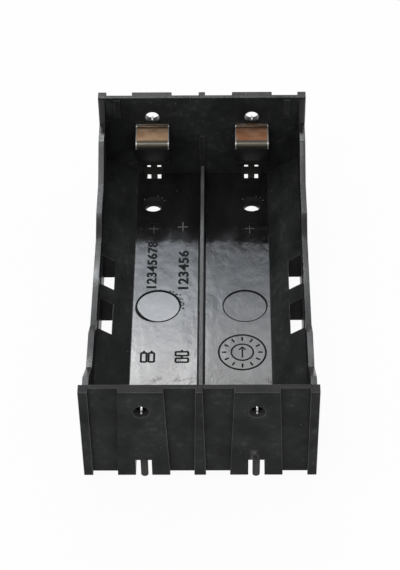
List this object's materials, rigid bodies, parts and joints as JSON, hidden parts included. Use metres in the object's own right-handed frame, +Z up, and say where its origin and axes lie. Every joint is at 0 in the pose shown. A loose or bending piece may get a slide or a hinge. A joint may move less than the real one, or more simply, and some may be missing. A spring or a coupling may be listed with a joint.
{
  "type": "cylindrical cell holder",
  "caption": "Open black tray for cylindrical cells side by side, with folded leaf contacts and board pins at its ends.",
  "frame": {"origin": "middle of the tray's flat underside, which is the face that sits on a board", "axes": "+X across the bays to the right, +Y along the cells towards the rear end, +Z up out of the open top"},
  "size_m": [0.0402, 0.0776, 0.024],
  "materials": {
    "tray_plastic": "moulded black plastic, half gloss, with fine scratches",
    "contact_metal": "bronze-coloured spring strip with bright sheared edges"
  },
  "bodies": {
    "root": {"cell_tray": "tray_plastic", "contact_front_left": "contact_metal", "contact_front_right": "contact_metal", "contact_rear_left": "contact_metal", "contact_rear_right": "contact_metal"}
  },
  "joints": []
}
